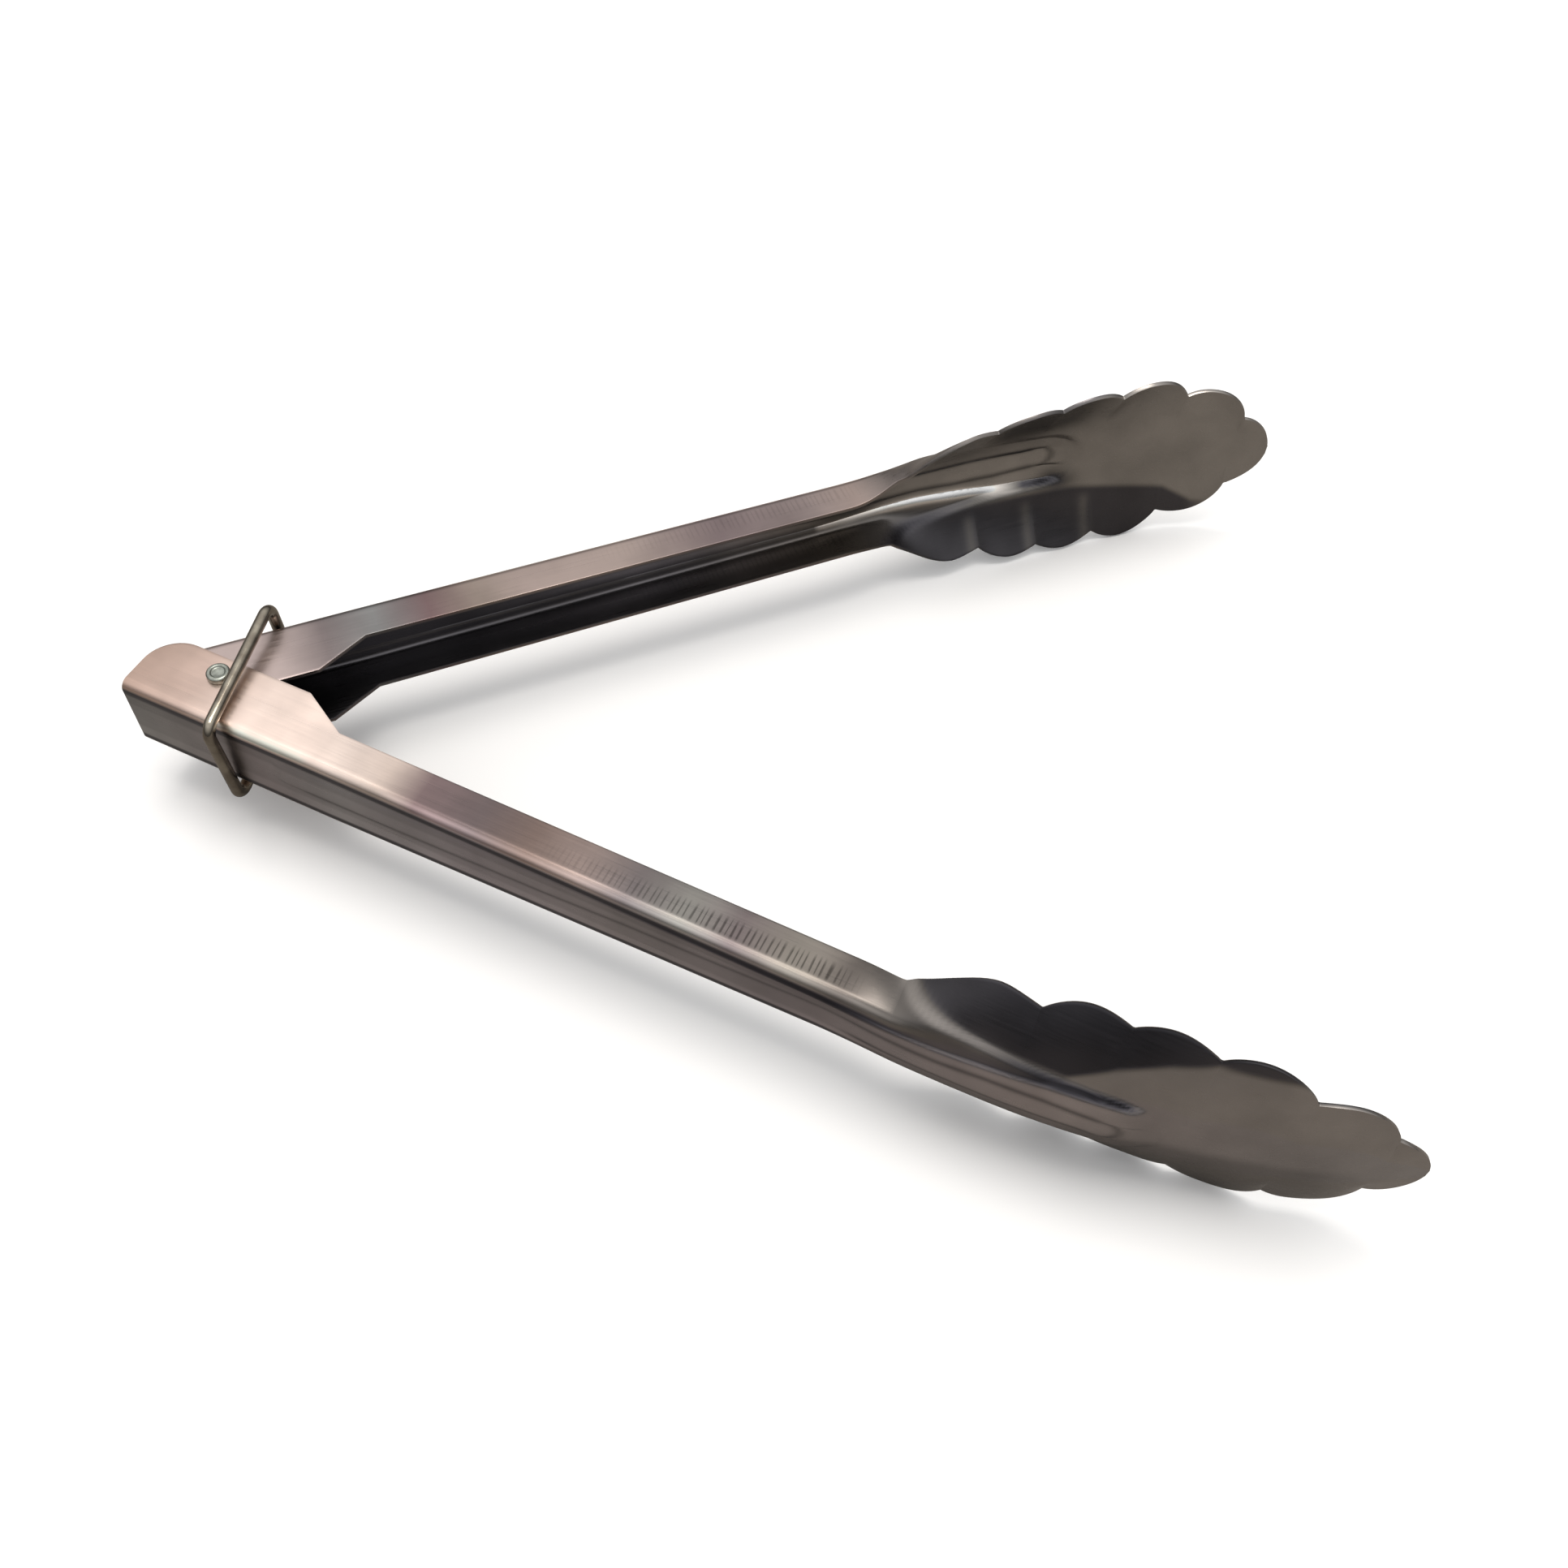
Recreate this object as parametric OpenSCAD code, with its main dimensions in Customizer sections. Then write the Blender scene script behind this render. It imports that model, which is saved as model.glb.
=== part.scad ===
// Spring loaded kitchen tongs, lying on their side with the arms spread.
// Two pressed sheet steel arms turn on one rivet. Each is a channel that
// widens into a scalloped, spoon shaped head. A torsion spring inside the
// channels pushes the arms apart, and a wire loop round both of them stops
// them there, or holds them shut when it is slid towards the heads.
// The origin is on the rivet's axis, halfway up the arms. +X runs between
// the arms to the heads, +Z along the rivet.

/* [Arms] */
// Reach of an arm from the rivet's axis to its tip
arm_reach = 225; // [200:1:300]
// Length of the outer arm behind the rivet's axis
outer_tail = 15; // [13:0.5:20]
// Length of the inner arm behind the rivet's axis
inner_tail = 11.2; // [10:0.2:16]
// Thickness of the sheet
sheet = 0.8; // [0.6:0.05:1.2]
// Width of the outer arm's channel at the rivet
channel_w = 17.2; // [14:0.2:24]
// Width of both channels where the heads begin
neck_w = 14; // [11:0.2:20]
// Distance from the rivet's axis to the outer face of the web
web_out = 9.7; // [8:0.1:14]
// Distance from the rivet's axis back to the long edges of the flanges
edge_out = 1.3; // [0.5:0.1:3]
// Outside radius of the bends between web and flanges
bend_r = 2; // [1.2:0.1:2.6]
// Clearance on each side between the inner arm's cheeks and the outer arm's
nest_gap = 0.15; // [0.05:0.05:0.4]

/* [Cheeks] */
// How far the cheeks pass the rivet's axis
cheek_rise = 4.1; // [3:0.1:5]
// Length of the cheeks' straight crest ahead of the rivet's axis
cheek_len = 17.4; // [14:0.2:24]
// Length over which the cheeks slope back to the flange edges
cheek_slope = 10; // [6:0.5:16]
// Radius of the cheeks' corner at the pivot end
cheek_r = 7; // [4:0.5:8]

/* [Beads] */
// Distance from the rivet's axis to the round start of the bead on the web
bead_start = 21; // [18:0.5:40]
// Width of the bead
bead_w = 7; // [5:0.5:7.5]
// Distance of the bead's middle line above the middle of the outer arm
bead_rise = 2; // [0:0.25:2]
// Height of the bead above the web
bead_h = 0.3; // [0.2:0.05:0.5]

/* [Heads] */
// Length of a head, from its shoulders to its tip
head_len = 86; // [70:1:100]
// Width across the shoulders, where the first lobes begin
shoulder_w = 28; // [24:1:34]
// Length of the oval that the notches between the lobes lie on
notch_oval_l = 82; // [70:1:92]
// Width of the oval that the notches lie on
notch_oval_w = 39.2; // [34:0.2:46]
// Distance from the tip to the middle of that oval
notch_oval_back = 43.2; // [38:0.2:48]
// How far the side lobes bulge past the line between their notches
lobe_bulge = 2.3; // [1.5:0.1:2.6]
// How far the last side lobe and its neighbour bulge
end_lobe_bulge = 3.8; // [3:0.1:4]
// Length over which the channel opens out into the head
flare_len = 28; // [22:1:36]
// Radius of the arc in which the head's middle curls inwards
curl_r = 180; // [140:5:260]
// Distance from the tip at which the head starts to curl inwards
curl_back = 75; // [60:1:85]
// Depth of the bowl's cross-section per square of its half width, at the neck
bowl_start = 0.026; // [0.015:0.001:0.03]
// The same near the tip
bowl_end = 0.006; // [0.003:0.001:0.01]

/* [Rivet] */
// Diameter of the rivet's shank
rivet_d = 3.2; // [2.5:0.1:4]
// Diameter of the rivet's head
rivet_head_d = 4.4; // [4:0.1:5]
// Height of the rivet's head
rivet_head_h = 1.2; // [0.8:0.1:1.6]
// Height of the turned over end
rivet_clinch_h = 0.9; // [0.6:0.1:1.4]
// Diameter of the hollow in the turned over end
rivet_hollow_d = 1.9; // [1.4:0.1:2.2]
// Depth of the hollow in the turned over end
rivet_hollow_l = 5; // [2:0.5:7]
// Running clearance of the shank in its holes, on the radius
rivet_fit = 0.05; // [0.02:0.01:0.1]
// Play between the rivet's ends and the cheeks
rivet_play = 0.05; // [0.02:0.01:0.2]

/* [Spring] */
// Diameter of the spring's wire
spring_wire = 1.2; // [0.9:0.1:1.5]
// Number of turns round the rivet
spring_turns = 6; // [4:1:7]
// Clearance between the coil and the rivet's shank
spring_gap = 0.6; // [0.3:0.1:1]
// Distance from the rivet's axis to where each leg ends
spring_leg = 34; // [26:1:45]
// Clearance between the legs' ends and the webs
spring_seat_gap = 0.1; // [0.05:0.05:0.3]

/* [Lock ring] */
// Diameter of the ring's wire
ring_wire = 2.3; // [1.8:0.1:2.8]
// Distance along the outer arm from the rivet's axis to the ring
ring_seat = 6.8; // [6:0.1:9]
// Lean of the ring against a square cut across the outer arm
ring_lean = 13.5; // [5:0.1:15]
// Roll of the ring in its own plane, its far end up
ring_roll = 4; // [0:0.5:5]
// Clearance between the ring and the arms where it comes closest to them
ring_gap = 0.15; // [0.1:0.05:0.4]
// Radius of the ring's corners, at the middle of the wire
ring_corner = 2.6; // [2:0.1:4]

/* [Spread] */
// Angle between the webs with the arms open
spread = 47.4; // [38:0.2:52]

/* [Hidden] */
$fn = 48;
inner_w = channel_w - 2 * (sheet + nest_gap);
// The channels are parallel up to here, and taper from here to the neck
taper_from = cheek_len + cheek_slope;
flare_from = arm_reach - head_len - flare_len / 2 + 3;
// Half the overlap of the plain channel with the tapered one
lap = 1;
// Angles on the oval at which the notches lie, counted from the tip
notch_angles = [121, 100, 80.5, 57, 28];
oval_u = arm_reach - notch_oval_back;
function notch(a) = [oval_u + notch_oval_l / 2 * cos(a), notch_oval_w / 2 * sin(a)];
shoulder = [arm_reach - head_len, shoulder_w / 2];
// Half width of the flat at the very tip
blunt = 1.2;
notches = concat([shoulder], [for (a = notch_angles) notch(a)]);
lobe_count = len(notches) - 1;
function bulge(i) = i < lobe_count - 2 ? lobe_bulge : end_lobe_bulge;
// Tip lobe: the circle through the last two notches and the tip
tip_depth = arm_reach - notches[lobe_count][0];
tip_half = notches[lobe_count][1];
tip_r = (tip_depth * tip_depth + tip_half * tip_half) / (2 * tip_depth);
// Ring: its length over the spread arms, a distance out from the axis to the middle of the wire
function ring_over(out) = (out * (1 + cos(spread)) + ring_seat * sin(spread)) / cos(spread - ring_lean);
// Lengths up to the next 0.02 mm, so that their halves are round numbers too
function stepped(l) = ceil(l * 50) / 50;
// Room for the roll above and below, from a length a little over the final one
ring_slack = ring_over(web_out + ring_gap + ring_wire) / 2 * sin(ring_roll);
ring_h = stepped(channel_w + 2 * (ring_gap + ring_slack) + ring_wire);
ring_out = web_out + ring_gap + ring_wire / 2 + (ring_h / 2 - ring_corner) * sin(ring_roll);
ring_l = stepped(ring_over(ring_out));
// Spring
coil_r = rivet_d / 2 + spring_gap + spring_wire / 2;
coil_pitch = spring_wire + 0.12;
coil_h = spring_turns * coil_pitch;
leg_reach = web_out - sheet - spring_seat_gap - spring_wire / 2;
steps_per_turn = 16;
wire_sides = 8;

function clamp01(x) = min(1, max(0, x));
function ease(x) = let (t = clamp01(x)) t * t * (3 - 2 * t);

// Half width of an arc that joins two outline points and bulges by b
function arc_half(p, q, b, u) =
    let (
        d = q - p,
        c = norm(d),
        r = (c * c / 4 + b * b) / (2 * b),
        m = (p + q) / 2,
        k = m + [d[1], -d[0]] / c * (r - b)
    )
    k[1] + sqrt(max(0, r * r - (u - k[0]) * (u - k[0])));

// Half width of the scalloped head at a distance u from the rivet's axis
function lobe_half(u, i = 0) =
    u >= notches[lobe_count][0]
        ? sqrt(max(blunt * blunt, tip_r * tip_r - pow(u - arm_reach + tip_r, 2)))
        : u <= notches[0][0]
            ? notches[0][1]
            : u <= notches[i + 1][0]
                ? arc_half(notches[i], notches[i + 1], bulge(i), u)
                : lobe_half(u, i + 1);

function curl(u) = let (x = max(0, u - arm_reach + curl_back)) curl_r - sqrt(curl_r * curl_r - x * x);
function bowl(u) =
    let (f = clamp01((u - notches[0][0] - flare_len / 2) / (notches[lobe_count][0] - notches[0][0] - flare_len)))
    bowl_start + (bowl_end - bowl_start) * f;
function channel_half(u, w) = w / 2 + (neck_w - w) / 2 * clamp01((u - taper_from) / (flare_from - taper_from));

// Outer line of the channel's section, [across, in from the web], t from 0 to 1
function channel_pt(t, h) =
    let (
        flat = h - bend_r,
        turn = PI / 2 * bend_r,
        wall = web_out - edge_out - bend_r,
        s = t * (flat + turn + wall),
        a = (s - flat) / bend_r * 180 / PI
    )
    s < flat ? [s, 0]
    : s < flat + turn ? [flat + bend_r * sin(a), bend_r * (1 - cos(a))]
    : [h, bend_r + s - flat - turn];

function head_pt(t, u) = let (z = t * lobe_half(u)) [z, curl(u) + bowl(u) * z * z];

function shell_pt(t, u, w) =
    let (b = ease((u - flare_from) / flare_len))
    (1 - b) * channel_pt(t, channel_half(u, w)) + b * head_pt(t, u);

// The same point pushed through the sheet by k of its thickness
function shell_in(t, u, w, k) =
    let (
        e = 0.002,
        d = shell_pt(min(1, t + e), u, w) - shell_pt(max(0, t - e), u, w),
        n = [-d[1], d[0]] / norm(d)
    )
    shell_pt(t, u, w) + k * sheet * n;

// Steps across half a section: flat web, bend, and flange or skirt
function across(h) =
    let (
        flat = h - bend_r,
        turn = PI / 2 * bend_r,
        wall = web_out - edge_out - bend_r,
        all = flat + turn + wall
    )
    concat(
        [for (i = [0:2]) flat * i / 3 / all],
        [for (i = [0:3]) (flat + turn * i / 4) / all],
        [for (i = [0:4]) (flat + turn + wall * i / 4) / all]
    );

// One line of points across a section at u, from edge to edge, k of the way through the sheet
function row(u, w, k, reach = 1) =
    let (ts = reach * across(neck_w / 2), n = len(ts))
    concat(
        [for (i = [n - 1:-1:1]) let (p = shell_in(ts[i], u, w, k)) [u, p[1] - web_out, p[0]]],
        [for (i = [0:n - 1]) let (p = shell_in(ts[i], u, w, k)) [u, p[1] - web_out, -p[0]]]
    );

// Places along the arm where a section is drawn
lobe_steps = 5;
tip_steps = 6;
stations = concat(
    [for (i = [0:5]) flare_from + (shoulder[0] - flare_from) * i / 6],
    [for (j = [0:lobe_count - 1]) for (i = [0:lobe_steps - 1])
        let (p = notches[j][0], q = notches[j + 1][0])
        p + (q - p) * (j < lobe_count - 1 ? i / lobe_steps : sin(90 * i / lobe_steps))],
    [for (i = [0:tip_steps]) arm_reach - tip_depth + tip_depth * sin(90 * i / tip_steps)]
);

// Tapered channel and head, one closed skin
module head(w) {
    // inside the plain channel the skin starts thin, so that the two join in the middle of the sheet
    rows = concat(
        [concat(row(taper_from - lap, w, 0.35, 0.97), reverse(row(taper_from - lap, w, 0.65, 0.97)))],
        [concat(row(taper_from + lap, w, 0), reverse(row(taper_from + lap, w, 1)))],
        [for (u = stations) concat(row(u, w, 0), reverse(row(u, w, 1)))]
    );
    skin(rows, folded = true);
}

function reverse(v) = [for (i = [len(v) - 1:-1:0]) v[i]];

// Triangles that close a ring of n points, which starts at number k. A folded ring runs out along
// one face of a sheet and back along the other, so it is closed by a strip across the sheet.
function cap(n, k, folded) =
    folded
        ? [for (i = [0:n / 2 - 2]) each [
            [k + i, k + i + 1, k + n - 2 - i],
            [k + i, k + n - 2 - i, k + n - 1 - i]
        ]]
        : [for (i = [1:n - 2]) [k, k + i, k + i + 1]];
function turned(faces) = [for (f = faces) [f[0], f[2], f[1]]];

// A closed solid through rings of points
module skin(rows, folded = false) {
    n = len(rows[0]);
    m = len(rows);
    polyhedron(
        points = [for (r = rows) each r],
        faces = concat(
            cap(n, 0, folded),
            [for (j = [0:m - 2]) for (i = [0:n - 1])
                [j * n + i, (j + 1) * n + i, (j + 1) * n + (i + 1) % n]],
            [for (j = [0:m - 2]) for (i = [0:n - 1])
                [j * n + i, (j + 1) * n + (i + 1) % n, j * n + (i + 1) % n]],
            turned(cap(n, (m - 1) * n, folded))
        )
    );
}

// Side view of the plain channel with its cheek, along the arm and across it
module cheek_outline(tail) {
    end = taper_from + lap / 4;
    difference() {
        polygon([
            [-tail, -web_out], [end, -web_out], [end, -edge_out], [cheek_len + cheek_slope, -edge_out],
            [cheek_len, cheek_rise], [-tail, cheek_rise]
        ]);
        translate([-tail, cheek_rise]) difference() {
            translate([-1, -cheek_r]) square([cheek_r + 1, cheek_r + 1]);
            translate([cheek_r, -cheek_r]) circle(r = cheek_r);
        }
    }
}

// End view of the plain channel, filled, with rounded bends
module channel_block(half, r, depth) {
    translate([-half, -depth]) {
        difference() {
            square([2 * half, depth + cheek_rise + 1]);
            for (side = [0, 1]) translate([side * 2 * half, 0]) mirror([side, 0]) difference() {
                translate([-1, -1]) square([r + 1, r + 1]);
                translate([r, r]) circle(r = r);
            }
        }
    }
}

// The pivot end: plain channel, cheeks and rivet holes
module pivot_end(tail, w) {
    long = tail + taper_from + 2;
    difference() {
        intersection() {
            translate([0, 0, -w]) linear_extrude(2 * w) cheek_outline(tail);
            translate([-tail - 1, 0, 0]) rotate([0, 90, 0]) linear_extrude(long)
                difference() {
                    channel_block(w / 2, bend_r, web_out);
                    channel_block(w / 2 - sheet, bend_r - sheet, web_out - sheet);
                }
        }
        translate([0, 0, -w]) cylinder(h = 2 * w, d = rivet_d + 2 * rivet_fit);
    }
}

// Raised bead along the web, with a round start
module web_bead() {
    run = flare_from - lap - bead_start;
    sunk = sheet / 5;
    translate([bead_start, sunk - web_out, bead_rise]) rotate([90, 0, 0]) linear_extrude(bead_h + sunk) {
        translate([bead_w / 2, 0]) circle(d = bead_w);
        translate([bead_w / 2, -bead_w / 2]) square([run - bead_w / 2, bead_w]);
    }
}

// One arm: along +X from the rivet's axis, its open side facing +Y
module arm(tail, w) {
    pivot_end(tail, w);
    head(w);
    web_bead();
}

module outer_arm() {
    color("rosybrown") rotate(-spread / 2) arm(outer_tail, channel_w);
}

// The same stamping, a little narrower, turned over
module inner_arm() {
    color("darkgray") rotate(spread / 2) rotate([180, 0, 0]) arm(inner_tail, inner_w);
}

// Semi-tubular rivet, head up, its hollow end turned over below
module pivot_rivet() {
    top = channel_w / 2 + rivet_play;
    color("silver") difference() {
        union() {
            translate([0, 0, -top]) cylinder(h = 2 * top, d = rivet_d);
            translate([0, 0, top]) cylinder(h = rivet_head_h, d = rivet_head_d);
            translate([0, 0, -top - rivet_clinch_h]) cylinder(h = rivet_clinch_h, d = rivet_head_d);
        }
        translate([0, 0, -top - rivet_clinch_h - 1])
            cylinder(h = rivet_hollow_l + 1, d = rivet_hollow_d);
        translate([0, 0, top + rivet_head_h - 0.3]) cylinder(h = 1, d = rivet_head_d - 1.6);
    }
}

// Middle line of the spring: a leg along the outer arm, the coil, and a leg along the inner arm.
// Each leg leaves the coil at a tangent and ends beside its arm's web.
leg_angle = asin((leg_reach - coil_r) / spring_leg);
outer_leg = -spread / 2 - leg_angle;
inner_leg = spread / 2 + leg_angle;
coil_from = outer_leg - 90;
coil_sweep = 360 * spring_turns + coil_from - inner_leg - 90;
coil_steps = round(steps_per_turn * coil_sweep / 360);
function coil_pt(a, z) = [coil_r * cos(a), coil_r * sin(a), z];
function leg_pt(a, side, l) = coil_pt(a + side * 90, side * coil_h / 2) + l * [cos(a), sin(a), 0];
spring_line = concat(
    [leg_pt(outer_leg, -1, spring_leg), leg_pt(outer_leg, -1, spring_wire)],
    [for (i = [0:coil_steps])
        coil_pt(coil_from - coil_sweep * i / coil_steps, coil_h * (i / coil_steps - 1 / 2))],
    [leg_pt(inner_leg, 1, spring_wire), leg_pt(inner_leg, 1, spring_leg)]
);

// Round wire along a line of points
module wire(line, d) {
    n = len(line);
    rows = [for (i = [0:n - 1])
        let (
            f = line[min(n - 1, i + 1)] - line[max(0, i - 1)],
            t = f / norm(f),
            s = cross([0, 0, 1], t) / norm(cross([0, 0, 1], t)),
            k = cross(t, s)
        )
        [for (j = [0:wire_sides - 1]) let (a = 360 * j / wire_sides)
            line[i] + d / 2 * (cos(a) * s + sin(a) * k)]];
    skin(rows);
}

module torsion_spring() {
    color("dimgray") wire(spring_line, spring_wire);
}

// One straight side of the ring, between its corners
module ring_side(l) {
    translate([0, 0, -(l / 2 - ring_corner)]) cylinder(h = l - 2 * ring_corner, d = ring_wire);
}

// Closed wire loop, long sides across the flanges, short sides across the webs
module ring_loop() {
    for (side = [-1, 1]) {
        translate([0, side * ring_l / 2, 0]) ring_side(ring_h);
        translate([0, 0, side * ring_h / 2]) rotate([90, 0, 0]) ring_side(ring_l);
    }
    for (turn = [0, 1], side = [-1, 1])
        translate([0, side * (ring_l / 2 - ring_corner), (turn == 0 ? 1 : -1) * (ring_h / 2 - ring_corner)])
            rotate([0, 90, 0]) rotate(corner_turn(side, turn)) rotate_extrude(angle = 90)
                translate([ring_corner, 0]) circle(d = ring_wire);
}
// Start angle of each corner, counted in the ring's plane from straight down
function corner_turn(side, turn) =
    side > 0 ? (turn == 0 ? 90 : 0) : (turn == 0 ? 180 : 270);

module lock_ring() {
    color("tan") rotate(-spread / 2) translate([ring_seat, -ring_out, 0]) rotate(ring_lean)
        translate([0, ring_l / 2, 0]) rotate([ring_roll, 0, 0]) ring_loop();
}

outer_arm();
inner_arm();
pivot_rivet();
torsion_spring();
lock_ring();
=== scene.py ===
# Spring loaded kitchen tongs, lying on their side with the arms spread.
# Two pressed stainless steel arms turn on one rivet, with a torsion spring
# between them and a wire ring round both.
import math

import bpy
from mathutils import Matrix, Vector


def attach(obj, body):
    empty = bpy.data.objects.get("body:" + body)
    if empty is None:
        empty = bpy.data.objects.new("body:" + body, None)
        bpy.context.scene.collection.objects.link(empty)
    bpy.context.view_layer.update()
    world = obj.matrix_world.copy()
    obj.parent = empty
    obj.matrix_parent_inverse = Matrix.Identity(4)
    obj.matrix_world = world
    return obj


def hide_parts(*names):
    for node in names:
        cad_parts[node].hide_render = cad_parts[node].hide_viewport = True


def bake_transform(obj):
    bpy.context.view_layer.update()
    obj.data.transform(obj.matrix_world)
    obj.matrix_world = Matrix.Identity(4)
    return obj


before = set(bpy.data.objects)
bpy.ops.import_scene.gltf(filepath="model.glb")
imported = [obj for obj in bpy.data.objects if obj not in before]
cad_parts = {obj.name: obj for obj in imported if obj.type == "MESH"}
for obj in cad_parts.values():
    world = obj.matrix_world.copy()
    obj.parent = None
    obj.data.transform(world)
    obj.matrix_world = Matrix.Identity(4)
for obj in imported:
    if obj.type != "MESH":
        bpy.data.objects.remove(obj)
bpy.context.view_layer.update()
bpy.ops.object.select_all(action="DESELECT")

# ---------------------------------------------------------------- the two arms
# Each arm is one stamping of 0.8 mm stainless sheet: a channel at the pivot
# end, drawn out into a scalloped spoon. It is blanked flat, the web's bead and
# the spoon are pressed, and the flanges are folded up last.
mm = 0.001
spread = math.radians(47.4)
sheet = 0.8
reach = 225.0
web_out = 9.7
bend_r = 2.0
edge_out = 1.3
neck_w = 14.0
# channel widths, and how far each arm's rear end lies behind the rivet
outer_w, outer_tail = 17.2, 15.0
inner_w, inner_tail = 15.3, 11.2
hole_d = 3.3
edge_soft = 0.12
cheek_rise, cheek_len, cheek_end, cheek_r = 4.1, 17.4, 27.4, 7.0
flare_from, flare_len = 128.0, 28.0
# the scallops' outline: shoulder, then the notches, as (along, half width)
notches = [(139.0, 14.0)] + [
    (181.8 + 41 * math.cos(math.radians(a)), 19.6 * math.sin(math.radians(a)))
    for a in (121, 100, 80.5, 57, 28)
]
bulges = [2.3, 2.3, 2.3, 3.8, 3.8]
tip_depth, tip_half = reach - notches[-1][0], notches[-1][1]
tip_r = (tip_depth**2 + tip_half**2) / (2 * tip_depth)
# least half width squared, so the last row at the tip doesn't close to a point
tip_blunt = 1.5
# the spoon's last stretch curls inwards; all of it sits a hair in from the web's face
curl_len, curl_r = 75, 180
head_in = 0.02


def ease(x):
    """0 below 0, 1 above 1, and a smooth step between."""
    x = min(1.0, max(0.0, x))
    return x * x * (3 - 2 * x)


def zone(x, low, high, soft):
    """1 from low to high, fading over soft on each side."""
    return ease((x - low) / soft + 0.5) * ease((high - x) / soft + 0.5)


def track(u, stops):
    """Straight line interpolation through (u, value) stops."""
    if u <= stops[0][0]:
        return stops[0][1]
    for (p, a), (q, b) in zip(stops, stops[1:]):
        if u <= q:
            return a + (b - a) * (u - p) / (q - p)
    return stops[-1][1]


def scallop(u):
    """Half width of the spoon at u millimetres from the rivet."""
    if u <= notches[0][0]:
        return notches[0][1]
    if u >= notches[-1][0]:
        return math.sqrt(max(tip_blunt, tip_r**2 - (u - reach + tip_r) ** 2))
    i = max(k for k in range(5) if notches[k][0] <= u)
    (pu, pz), (qu, qz), b = notches[i], notches[i + 1], bulges[i]
    du, dz = qu - pu, qz - pz
    chord = math.hypot(du, dz)
    r = (chord**2 / 4 + b * b) / (2 * b)
    cu = (pu + qu) / 2 + dz / chord * (r - b)
    cz = (pz + qz) / 2 - du / chord * (r - b)
    return cz + math.sqrt(max(0.0, r * r - (u - cu) ** 2))


def flange_edge(u, tail):
    """How far in the flange's free edge lies, counted from the rivet's axis."""
    if u < cheek_r - tail:
        return cheek_rise - cheek_r + math.sqrt(max(0.0, cheek_r**2 - (cheek_r - tail - u) ** 2))
    if u < cheek_len:
        return cheek_rise
    drop = (cheek_rise + edge_out) * (u - cheek_len) / (cheek_end - cheek_len)
    return max(-edge_out, cheek_rise - drop)


def tongue_half(u):
    """Half width of the raised tongue that runs from the channel into the spoon."""
    side = 9.9 - 2.6 * ease((u - 132) / 46)
    end, round_len = 185.0, 9
    return side * math.sqrt(max(0.0, 1 - max(0.0, (u - (end - round_len)) / round_len) ** 2))


# where the ribs' edges run, as (along, across); the middle one parts two ribs
rib_low = [(128, -2.6), (172, -2.7), (177, -3.2)]
rib_mid = [
    (18, -1.1), (45, -0.8), (75, 0), (90, 0.9), (105, 1.2),
    (130, 2.3), (148, 2.4), (156, 3.2), (166, 3.3), (178, 2.2),
]
rib_high = [(18, 4.8), (75, 4.8), (148, 5.0), (154, 5.5), (160, 6.0), (166, 6.6), (182, 6.8)]


def relief(u, z):
    """How far the press pushes the sheet outwards, in millimetres."""
    lift = 0.0
    if u > 16:
        low, mid, high = track(u, rib_low), track(u, rib_mid), track(u, rib_high)
        up = ease((u - 17) / 3) * ease((183 - u) / 4)
        rib = zone(z, mid, high, 0.8)
        lift += (0.34 + 0.22 * ease((u - 120) / 25)) * up * rib
        second = zone(z, low, mid, 0.8) * ease((179 - u) / 4)
        lift += 0.42 * ease((u - 126) / 14) * second
    if u > 120:
        t = tongue_half(u)
        lift += 0.85 * ease((u - 124) / 22) * ease((187 - u) / 9) * ease((t + 0.9 - abs(z)) / 1.8)
    if u > notches[0][0]:
        # a crease runs in from every notch, and each scallop is cupped between them
        h = scallop(u)
        i = max(k for k in range(6) if notches[k][0] <= u)
        span = notches[i + 1][0] - notches[i][0] if i < 5 else 2 * tip_depth
        phase = (u - notches[i][0]) / span
        crease = (1 - abs(math.sin(math.pi * phase))) ** 2
        lift -= 0.55 * crease * ease((abs(z) / h - 0.5) / 0.45) * ease((u - 142) / 10)
    return lift


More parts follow.
